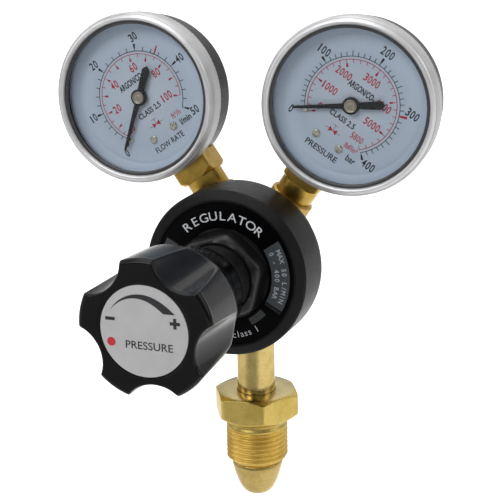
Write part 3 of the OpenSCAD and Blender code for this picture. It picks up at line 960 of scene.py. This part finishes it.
def gauge(s):
    side = SIDE[s]
    D = DIALF(s)
    S = STEMF(s)
    P = side + "_pointer"
    root = "regulator"
    # round pieces use a frame turned about the dial's axis until its x is level, so that their boxes are tight
    phi = math.atan2(-D[2][0], D[2][1])
    if D[0][0] * math.cos(phi) + D[0][1] * math.sin(phi) < 0:
        phi += math.pi
    E = D @ Matrix.Rotation(phi, 4, "Z")

    lathe(side + "_case_pressed", [
        (0, -8), (24.0, -8, 0.8), (26.2, -7.3, 1.4), (27.6, -5.9, 1.6), (28.18, -4.0, 1.6), (28.2, 11.95), (27.4, 11.95),
        (27.4, -3.4), (26.2, -6.4), (24.0, -7.2), (0, -7.2)],
        E, root, CASE_BLACK, n=256, slot="black_case", replaces=(side + "_case",))

    def crimp(t, r, z):
        if r < 29 or z > 8.15:
            return r
        return r - 0.10 * (0.5 - 0.5 * math.cos(t * 120)) * (1 if z < 8.0 else 0.4)

    lathe(side + "_bezel_band", [
        (28.22, 7.1), (29.35, 7.1, 0.12), (29.6, 7.3, 0.15), (29.6, 7.95), (29.5, 8.1), (29.6, 8.3), (29.62, 12.85),
        (29.48, 13.0), (29.48, 13.12), (29.63, 13.3), (29.65, 13.95), (29.5, 14.08), (29.5, 14.2), (29.62, 14.34),
        (29.5, 14.8, 0.35), (29.1, 15.15, 0.3), (28.75, 15.15), (28.22, 14.5)],
        E, root, BEZEL, n=480, seg=4, radius=crimp, slot="steel", replaces=(side + "_bezel",))
    lathe(side + "_bezel_lip", [
        (28.85, 14.86), (28.9, 15.2, 0.2), (28.55, 15.7, 0.5), (28.0, 16.02, 0.7), (27.6, 16.05, 0.6), (27.2, 15.75, 0.5),
        (26.96, 15.3, 0.4), (26.9, 14.86, 0.05)],
        E, root, BEZEL_LIP, n=256, seg=6, slot="steel")
    lathe(side + "_gasket_ring", [(28.15, 14.05), (28.15, 14.84), (26.2, 14.84, 0.2), (25.75, 14.6, 0.3), (25.7, 14.03)],
          E, root, RUBBER, n=192, slot="rubber", replaces=(side + "_gasket",))

    # dial with a raised pale rim
    lathe(side + "_dial_plate", [
        (0, 8.6), (23.9, 8.6, 0.6), (27.25, 9.95), (27.25, 10.5), (26.4, 10.5, 0.6), (24.3, 9.45, 0.6), (23.6, 9.1, 0.5), (0, 9.1)],
        E, root, DIAL, n=256, slot="dial_white", replaces=(side + "_dial",))

    black_ink = Print(9.125)
    red_ink = Print(9.12)
    fine = Print(9.115)
    if s < 0:
        majors = [217.5, 168.7, 115.1, 61.6, 8.6, -45.2]
        black_ink.arc(15.93, 16.2, majors[0], majors[-1])
        for a in majors:
            black_ink.tick(a, 17.0, 18.6, 0.5, 0.85)
            black_ink.tick(a, 15.95, 18.6, 0.26)
        for a, b in zip(majors, majors[1:]):
            for k in range(1, 5):
                black_ink.tick(lerp(a, b, k / 5), 16.0, 17.5, 0.27)
        reds = [218.0, 197.4, 171.6, 146.3, 121.5, 96.2, 71.0, 45.8, 20.9, -4.3, -30.2]
        red_ink.arc(14.98, 15.22, reds[0], reds[-1])
        for i, a in enumerate(reds):
            red_ink.tick(a, 12.6, 13.9, 0.75, 0.5)
            red_ink.tick(a, 12.6, 15.1, 0.16)
        for a, b in zip(reds, reds[1:]):
            red_ink.tick(lerp(a, b, 0.5), 13.9, 15.1, 0.26)
        red_ink.tick(35.2, 16.0, 19.2, 0.55)
        for t, x, y in (("0", -16.4, -13.2), ("10", -20.2, 3.9), ("20", -8.7, 18.9), ("30", 9.9, 18.5), ("40", 20.3, 3.0), ("50", 14.6, -14.6)):
            black_ink.digits(t, x, y, 2.7)
        black_ink.text("l/min", 9.9, -15.3, 2.1, 0.62, 0.0, 0.03, 4.6)
        for t, x, y in (("0", -9.1, -6.8), ("20", -10.2, 1.6), ("40", -6.1, 8.9), ("60", 3.7, 9.9), ("80", 9.9, 3.7), ("100", 8.3, -5.1)):
            red_ink.digits(t, x, y, 2.7)
        red_ink.text("ft³/h", 7.8, -11.9, 1.9, 0.62, 0.0, 0.012, 3.9)
        black_ink.text("ARGON/CO₂", 0.1, 6.2, 2.1, 0.62, 0.0, 0.034, 11.0)
        lower = "FLOW RATE"
    else:
        majors = [217.0, 156.4, 89.5, 22.4, -45.0]
        black_ink.arc(15.98, 16.22, majors[0], majors[-1])
        for a in majors:
            black_ink.tick(a, 17.0, 18.7, 0.5, 0.85)
            black_ink.tick(a, 16.0, 18.7, 0.26)
        for a, b in zip(majors, majors[1:]):
            for k in range(1, 10):
                black_ink.tick(lerp(a, b, k / 10), 16.05, 18.0 if k == 5 else 17.5, 0.27)
        reds = [223.7, 177.4, 130.9, 85.2, 38.9, -8.1, -46.3]
        red_ink.arc(14.98, 15.22, reds[0], reds[-1])
        for a in reds[:-1]:
            red_ink.tick(a, 12.6, 13.9, 0.8, 0.5)
            red_ink.tick(a, 12.6, 15.1, 0.22)
        red_ink.tick(reds[-1], 13.7, 15.1, 0.24)
        for i, (a, b) in enumerate(zip(reds, reds[1:])):
            m = 5 if i < 5 else 4
            for k in range(1, m):
                red_ink.tick(lerp(a, b, k / m), 13.9, 15.1, 0.24)
        red_over = Print(9.14)
        red_over.tick(22.4, 16.1, 18.8, 0.55, 0.95)
        red_over.make("right_dial_limit", D, root, INK_RED)
        for t, x, y in (("0", -16.3, -13.0), ("100", -17.8, 9.6), ("200", 0.2, 20.9), ("300", 18.2, 9.2), ("400", 15.9, -13.6)):
            black_ink.digits(t, x, y, 2.7)
        black_ink.text("bar", 10.0, -15.5, 2.2, 0.62, 0.0, 0.016, 3.5)
        for t, x, y in (("0", -8.8, -6.6), ("1000", -9.4, 0.4), ("2000", -8.1, 7.2), ("3000", 1.0, 10.5), ("4000", 8.7, 5.8), ("5000", 9.1, -1.4)):
            red_ink.digits(t, x, y, 2.5 if len(t) < 4 or t[0] != "5" or t[1] == "0" else 2.2, 1.28, 1.52, 0.018)
        red_ink.digits("5800", 7.55, -8.1, 2.1, 1.0, 1.2, 0.012)
        red_ink.text("lbf/in²", 7.9, -12.2, 1.8, 0.6, 0.0, 0.012, 4.9)
        black_ink.text("ARGON/CO₂", 0.1, 5.9, 2.0, 0.62, 0.0, 0.034, 10.6)
        lower = "PRESSURE"
    black_ink.text("CLASS 2.5", 0, -5.7, 1.85, 0.70, 0.0, 0.026, 9.9)
    black_ink.text(lower, 0, -18.8, 2.0, 0.88, 0.0, 0.016, 12.6)
    # small valve symbol: two triangles on a line
    red_ink.poly([(-2.0, -9.9), (-0.5, -10.9), (-2.0, -11.9)])
    red_ink.poly([(1.0, -9.9), (1.0, -11.9), (-0.5, -10.9)])
    fine.poly([(-3.4, -10.98), (2.4, -10.98), (2.4, -10.82), (-3.4, -10.82)])
    fine.poly([(-0.57, -10.9), (-0.43, -10.9), (-0.43, -8.9), (-0.57, -8.9)])
    fine.poly([(-1.5, -9.02), (0.5, -9.02), (0.5, -8.86), (-1.5, -8.86)])
    black_ink.make(side + "_dial_black", D, root, INK_BLACK)
    red_ink.make(side + "_dial_red", D, root, INK_RED)
    fine.make(side + "_dial_fine", D, root, INK_GREY)

    heads = [moved(screw_head(1.42, 9.05, 9.75, 0.5, turn, 0.42), Matrix.Translation((x, -14.9, 0)))
             for x, turn in ((-4.6, 25 * s), (4.6, -40 * s))]
    v, f = merge(*heads)
    add_object(side + "_dial_screw_heads", v, f, D, root, SCREW_STEEL, smooth=35, slot="steel", replaces=(side + "_dial_screws",))
    v, f = lathe_data(rounded([(0, 8.0), (0.95, 8.0), (0.95, 9.9, 0.45), (0, 9.9)]), 48)
    v, f = moved((v, f), Matrix.Translation((-12.1, -10.4, 0)))
    add_object(side + "_stop_post", v, f, D, root, SCREW_STEEL, smooth=35, slot="steel", replaces=(side + "_stop_pin",))

    rest = 218.0 if s < 0 else 216.7
    blade = [(-11.6, 0), (-10.75, -0.95), (-10.35, -1.3), (-10.0, -1.4), (0, -1.0), (19.2, -0.42), (19.9, -0.2), (20.3, 0),
             (19.9, 0.2), (19.2, 0.42), (0, 1.0), (-10.0, 1.4), (-10.35, 1.3), (-10.75, 0.95)]
    rings = []
    for z, g in ((10.6, 0.94), (10.66, 1.0), (11.02, 1.0), (11.1, 0.94)):
        rings.append([(x * (1 if g == 1 else 0.995), y * g, z) for x, y in blade])
    part = moved(prism_stack(rings), Matrix.Rotation(math.radians(rest), 4, "Z"))
    hub = lathe_data(rounded([(0, 9.8), (2.8, 9.8, 0.1), (2.9, 10.0), (2.9, 11.15, 0.2), (2.6, 11.3, 0.1), (0, 11.3)]), 96)
    v, f = merge(part, hub)
    add_object(side + "_pointer_blade", v, f, D, P, POINTER, smooth=35, slot="pointer_black", replaces=(side + "_pointer",))
    lathe(side + "_pointer_button", [
        (0, 11.25), (2.15, 11.25), (2.15, 11.6, 0.1), (1.95, 11.72, 0.08), (1.72, 11.6, 0.05), (1.6, 11.42, 0.1), (0.85, 11.42, 0.1), (0.7, 11.62, 0.1), (0.35, 11.66, 0.1), (0.3, 11.45), (0, 11.42)],
        D, P, CAP_STEEL, n=96, slot="steel", replaces=(side + "_pointer_cap",))

    # square socket with turned neck
    def wall(th, z):
        sq = polygon_radius(th, 4, 7.0, 0, 0.3)
        r = cone_radius(z, [(32.6, 7.45), (33.2, 8.1), (34.6, 9.8), (36.0, 11.6), (46.0, 14)])
        return smin(sq, np.full_like(th, r), 0.3)

    neck = lathe_data(rounded([(1.25, 15.2), (6.5, 15.2), (6.55, 26.9), (6.75, 27.05, 0.1), (6.9, 27.3), (6.9, 32.9, 0.3), (6.6, 33.4), (1.25, 33.4)]), 128)
    v, f = polar(spaced([33.0, 36.4], 0.12) + [40.0, 46.0, 50.0], wall, [(1.25, 50.0), (1.25, 33.0)], 320)
    v, f = merge(neck, (v, f))
    add_object(side + "_socket_square", v, f, S, root, BRASS_SOCKET, smooth=34, slot="brass", replaces=(side + "_socket",))
    v, f = merge(box_part(-8, 8, -22.4, -12, -7.1, 0.8),
                 moved(lathe_data([(0.7, 0.7), (1.8, 0.7), (1.8, 8.6), (0.7, 8.6)], 48), Matrix.Translation((-4.6, -14.9, 0))),
                 moved(lathe_data([(0.7, 0.7), (1.8, 0.7), (1.8, 8.6), (0.7, 8.6)], 48), Matrix.Translation((4.6, -14.9, 0))))
    add_object(side + "_socket_block", v, f, D, root, BRASS_SOCKET, smooth=30, slot="brass")

    # back of the case
    back = D @ Matrix.Rotation(math.pi, 4, "Y")
    heads = [moved(screw_head(2.2, 8.0, 9.0, 0.5, turn), Matrix.Translation((x, -18, 0))) for x, turn in ((-5, 30), (5, -15))]
    v, f = merge(*heads)
    add_object(side + "_case_screw_heads", v, f, back, root, STEEL, smooth=35, slot="steel", replaces=(side + "_case_screws",))
    v, f = lathe_data(rounded([(0, 6.6), (5.48, 6.6), (5.48, 8.0), (6.6, 8.0), (6.6, 8.25, 0.1), (6.1, 8.7, 0.2), (3.2, 8.7, 0.1), (3.0, 8.45), (0, 8.45)]), 128)
    v, f = moved((v, f), Matrix.Translation((0, 10, 0)))
    add_object(side + "_blowout_disc", v, f, back, root, RUBBER, smooth=35, slot="rubber", replaces=(side + "_blowout_plug",))


gauge(-1)
gauge(1)

# rear plug
hex_solid("rear_plug_hex", FWD, "regulator", BRASS_NUT, 9.5, 30, [(-18.0, 9.2), (-17.0, 11.0), (-13.05, 11.0)],
          [(7.9, -13.05), (7.9, -6.4), (7.6, -6.0), (4.5, -6.0), (4.5, -11.0), (0.02, -11.0), (0.02, -16.6), (3.4, -17.4), (3.6, -17.95)],
          "brass", ("rear_plug",))

# --------------------------------------------------------------------------
# parts carried over from the CAD: the inner works
# --------------------------------------------------------------------------
FINISH = {
    "seat_nozzle": BRASS_DARK, "valve_poppet": BRASS_DARK, "diaphragm": RUBBER,
    "slip_ring": SPRING, "diaphragm_plate": BRASS_DARK, "spring_button": STEEL,
    "adjusting_screw": BRASS_BODY, "knob_insert": BRASS_DARK, "inlet_filter": SINTER,
}
for s in ("left", "right"):
    FINISH.update({s + "_lens": LENS, s + "_spindle": BRASS_DARK, s + "_movement_frame": BRASS_DARK,
                   s + "_sector_gear": BRASS_DARK, s + "_link": STEEL, s + "_bourdon_tube": BRASS_BODY})
for name, mat in FINISH.items():
    ob = NODES[name]
    ob.data.materials.clear()
    ob.data.materials.append(mat)

# --------------------------------------------------------------------------
# floor, light and camera
# --------------------------------------------------------------------------
me = bpy.data.meshes.new("studio_floor")
g = 14.0
zf = -0.27
me.from_pydata([(-g, -g, zf), (g, -g, zf), (g, g, zf), (-g, g, zf)], [], [(0, 1, 2, 3)])
floor = bpy.data.objects.new("studio_floor", me)
scene.collection.objects.link(floor)
fm = Mat("floor_pale")
fm.rough(fm.remap(fm.noise(5.0, 2), 0.75, 0.85))
sx = fm.t.nodes.new("ShaderNodeSeparateXYZ")
fm.link(fm.coord.outputs["Object"], sx.inputs[0])
off = fm.t.nodes.new("ShaderNodeVectorMath")
off.operation = "DISTANCE"
off.inputs[1].default_value = (-0.08, -1.08, 0.0)
fm.link(fm.coord.outputs["Object"], off.inputs[0])
# painted shade: the floor's colour and glow are darker round a point in front of the object, so that the front comes
# out dark in reflections
front_shade_falloff = fm.remap(off.outputs["Value"], 0.0, 1.0, 0.52, 0.92)
fac = fm.remap(sx.outputs["Y"], 0.0, 1.0, -0.30, 0.40)
fm.color(fm.mix(1.0, fm.ramp(front_shade_falloff, [(0.0, gray(0.42)), (1.0, gray(0.76))]), fm.ramp(fm.noise(3.0, 3), [(0.3, gray(0.96)), (0.7, gray(1.0))]), "MULTIPLY"))
# painted light: the floor glows by emission, full in a fan running back from the object and weaker elsewhere, a little
# stronger to the right; not the whole room
side = fm.t.nodes.new("ShaderNodeVectorMath")
side.operation = "DOT_PRODUCT"
side.inputs[1].default_value = (0.9355, 0.3532, 0.0)
away = fm.t.nodes.new("ShaderNodeVectorMath")
away.operation = "DOT_PRODUCT"
away.inputs[1].default_value = (-0.3532, 0.9355, 0.0)
rel = fm.t.nodes.new("ShaderNodeVectorMath")
rel.operation = "SUBTRACT"
rel.inputs[1].default_value = (0.1448, -0.3876, 0.0)
fm.link(fm.coord.outputs["Object"], rel.inputs[0])
fm.link(rel.outputs[0], side.inputs[0])
fm.link(rel.outputs[0], away.inputs[0])
spread = fm.t.nodes.new("ShaderNodeMath")
spread.operation = "DIVIDE"
fm.link(side.outputs["Value"], spread.inputs[0])
fm.link(away.outputs["Value"], spread.inputs[1])
fan = fm.t.nodes.new("ShaderNodeMath")
fan.operation = "ABSOLUTE"
fm.link(spread.outputs[0], fan.inputs[0])
glow_fan = fm.ramp(fm.remap(fan.outputs[0], 0.0, 1.0, 0.25, 0.44), [(0.0, gray(1.0)), (1.0, gray(0.0))])
reach = fm.mix(1.0, fm.ramp(fac, [(0.0, gray(0.0)), (0.5, gray(0.0)), (1.0, gray(1.0))]), glow_fan, "MULTIPLY")
glow = fm.mix(1.0, fm.ramp(front_shade_falloff, [(0.0, gray(0.0)), (0.4, gray(0.25)), (1.0, gray(1.0))]), fm.mix(reach, fm.ramp(fm.remap(sx.outputs["X"], 0.0, 1.0, -0.5, 0.6), [(0.0, gray(0.24)), (0.5, gray(0.30)), (1.0, gray(0.54))]), (1, 1, 1, 1)), "MULTIPLY")
fm.link(glow, fm.p.inputs["Emission Color"])
fm.p.inputs["Emission Strength"].default_value = 1.0
me.materials.append(fm.m)

world = bpy.data.worlds.new("studio_world")
scene.world = world
world.use_nodes = True
wt = world.node_tree
bg = wt.nodes["Background"]
tc = wt.nodes.new("ShaderNodeTexCoord")
sep = wt.nodes.new("ShaderNodeSeparateXYZ")
wt.links.new(tc.outputs["Generated"], sep.inputs[0])
rampw = wt.nodes.new("ShaderNodeValToRGB")
el = rampw.color_ramp.elements
stops = [(0.0, 0.10), (0.35, 0.11), (0.55, 0.18), (0.8, 0.46), (1.0, 0.74)]
while len(el) < len(stops):
    el.new(0.5)
for e_, (p_, c_) in zip(el, stops):
    e_.position = p_
    e_.color = (c_, c_, c_ * 1.01, 1)
mr = wt.nodes.new("ShaderNodeMapRange")
mr.inputs["From Min"].default_value = -1.0
wt.links.new(sep.outputs["Y"], mr.inputs["Value"])
wt.links.new(mr.outputs["Result"], rampw.inputs["Fac"])
rampz = wt.nodes.new("ShaderNodeValToRGB")
ez = rampz.color_ramp.elements
ez[0].position, ez[0].color = 0.15, (0, 0, 0, 1)
ez[1].position, ez[1].color = 0.75, (0.42, 0.42, 0.425, 1)
wt.links.new(sep.outputs["Z"], rampz.inputs["Fac"])
addw = wt.nodes.new("ShaderNodeMix")
addw.data_type = "RGBA"
addw.blend_type = "ADD"
addw.inputs[0].default_value = 1.0
wt.links.new(rampw.outputs["Color"], addw.inputs[6])
wt.links.new(rampz.outputs["Color"], addw.inputs[7])
wt.links.new(addw.outputs[2], bg.inputs["Color"])
bg.inputs["Strength"].default_value = 0.9


def area(name, loc, aim, size_x, size_y, power, tint=(1, 1, 1)):
    li = bpy.data.lights.new(name, "AREA")
    li.shape = "RECTANGLE"
    li.size, li.size_y = size_x, size_y
    li.energy = power
    li.color = tint
    ob = bpy.data.objects.new(name, li)
    scene.collection.objects.link(ob)
    d = Vector(aim) - Vector(loc)
    ob.matrix_world = Matrix.Translation(loc) @ d.to_track_quat("-Z", "Y").to_matrix().to_4x4()
    return ob


C = (0, -0.03, 0.08)
area("softbox_left", (-0.85, -0.22, 0.50), C, 0.5, 0.6, 1.3)
area("softbox_right", (0.90, 0.02, 0.50), C, 0.5, 0.6, 1.1)
area("softbox_top", (-0.05, -0.10, 0.95), C, 0.9, 0.6, 3.0)
area("softbox_front", (-0.35, -1.20, 1.0), C, 1.2, 0.9, 9.5)
area("softbox_back", (0.0, 1.0, 0.8), C, 1.2, 0.5, 0.5)

cam = bpy.data.cameras.new("photo_camera")
cam.lens = 85.69
cam.sensor_width = 36.0
cam.clip_start = 0.01
camera = bpy.data.objects.new("photo_camera", cam)
scene.collection.objects.link(camera)
AZ, EL, ROLL = math.radians(20.683), math.radians(14.818), math.radians(-1.034)
bk = Vector((math.sin(AZ) * math.cos(EL), -math.cos(AZ) * math.cos(EL), math.sin(EL)))
rt = Vector((math.cos(AZ), math.sin(AZ), 0))
up = bk.cross(rt)
right = math.cos(ROLL) * rt + math.sin(ROLL) * up
upv = -math.sin(ROLL) * rt + math.cos(ROLL) * up
M = Matrix((right, upv, bk)).transposed().to_4x4()
M.translation = (0.144776, -0.387603, 0.183830)
camera.matrix_world = M
scene.camera = camera
scene.view_settings.view_transform = "Standard"
scene.view_settings.look = "None"
